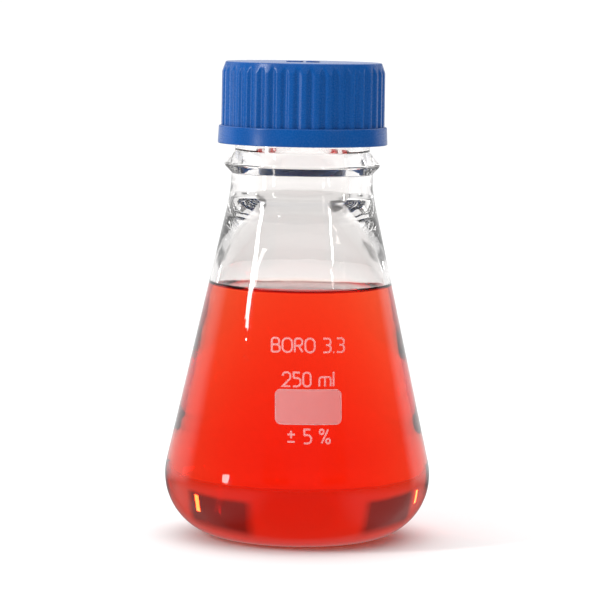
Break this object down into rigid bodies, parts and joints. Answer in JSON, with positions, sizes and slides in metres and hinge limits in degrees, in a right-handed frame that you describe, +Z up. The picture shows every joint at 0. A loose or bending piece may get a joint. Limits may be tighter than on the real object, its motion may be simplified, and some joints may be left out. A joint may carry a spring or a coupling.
{
  "type": "erlenmeyer flask",
  "caption": "Conical glass laboratory flask with a red sample liquid, closed by a ribbed blue screw cap on a threaded neck with a collar.",
  "frame": {"origin": "centre of the ring that the flask stands on", "axes": "+Z up along the flask's axis, -Y towards the printed marks, +X to the right seen from that side"},
  "size_m": [0.085, 0.085, 0.1523],
  "materials": {
    "glass": "gloss",
    "liquid": "gloss",
    "ring_plastic": "satin",
    "silicone": "matte",
    "cap_plastic": "satin",
    "enamel": "matte"
  },
  "bodies": {
    "flask": {"glass_flask": "glass", "sample_liquid": "liquid", "pouring_ring": "ring_plastic", "glass_type_mark": "enamel", "capacity_mark": "enamel", "marking_spot": "enamel", "tolerance_mark": "enamel"},
    "liner": {"cap_liner": "silicone"},
    "cap": {"screw_cap": "cap_plastic"}
  },
  "joints": [
    {"name": "cap_lift", "type": "slide", "parent": "flask", "child": "liner", "axis": [0, 0, 1], "range_m": [0, 0.0281]},
    {"name": "cap_turn", "type": "hinge", "parent": "liner", "child": "cap", "pos_m": [0, 0, 0.126], "axis": [0, 0, 1], "range_deg": [0, 2520]}
  ],
  "couplings": [
    {"joint": "cap_lift", "follows": "cap_turn", "m_per_rad": 0.00063662}
  ]
}
